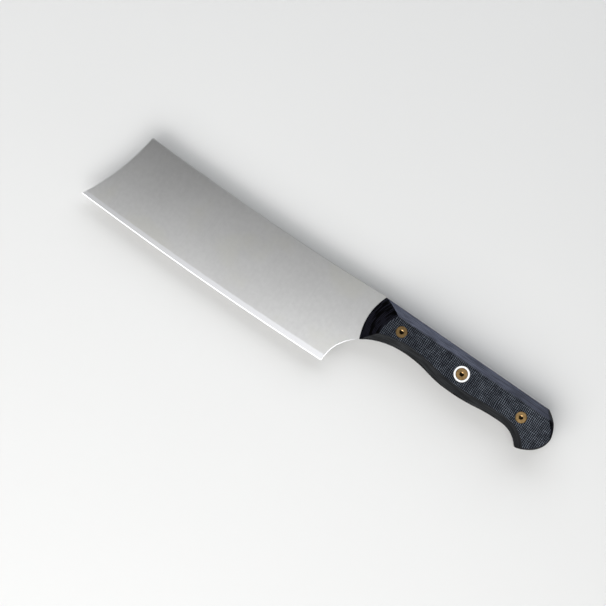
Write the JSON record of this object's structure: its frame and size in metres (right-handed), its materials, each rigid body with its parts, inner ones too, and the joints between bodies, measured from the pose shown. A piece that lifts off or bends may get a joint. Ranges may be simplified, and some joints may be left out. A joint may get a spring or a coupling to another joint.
{
  "type": "nakiri knife",
  "caption": "Nakiri kitchen knife: tall flat-ground blade with a concave nose, full tang between bevelled woven-laminate scales, brass handle bolts and white collars on the middle one.",
  "frame": {"origin": "middle of the footprint, on the surface that the knife lies on with its right scale down", "axes": "+X from the blade's tip to the handle's butt, +Y from the cutting edge to the spine, +Z out of the left side of the knife, which faces up"},
  "size_m": [0.2834, 0.0496, 0.018],
  "materials": {
    "blade": "satin stainless steel with a brighter edge bevel",
    "scale": "dark blue-grey woven linen laminate, hand sanded",
    "bolt": "satin brass, ground flush",
    "collar": "white plastic, ground flush"
  },
  "bodies": {
    "root": {"blade": "blade", "scale_left": "scale", "scale_right": "scale", "bolt_screw_front": "bolt", "bolt_screw_middle": "bolt", "bolt_screw_rear": "bolt", "bolt_sleeve_front": "bolt", "bolt_sleeve_middle": "bolt", "bolt_sleeve_rear": "bolt", "collar_left": "collar", "collar_right": "collar"}
  },
  "joints": []
}
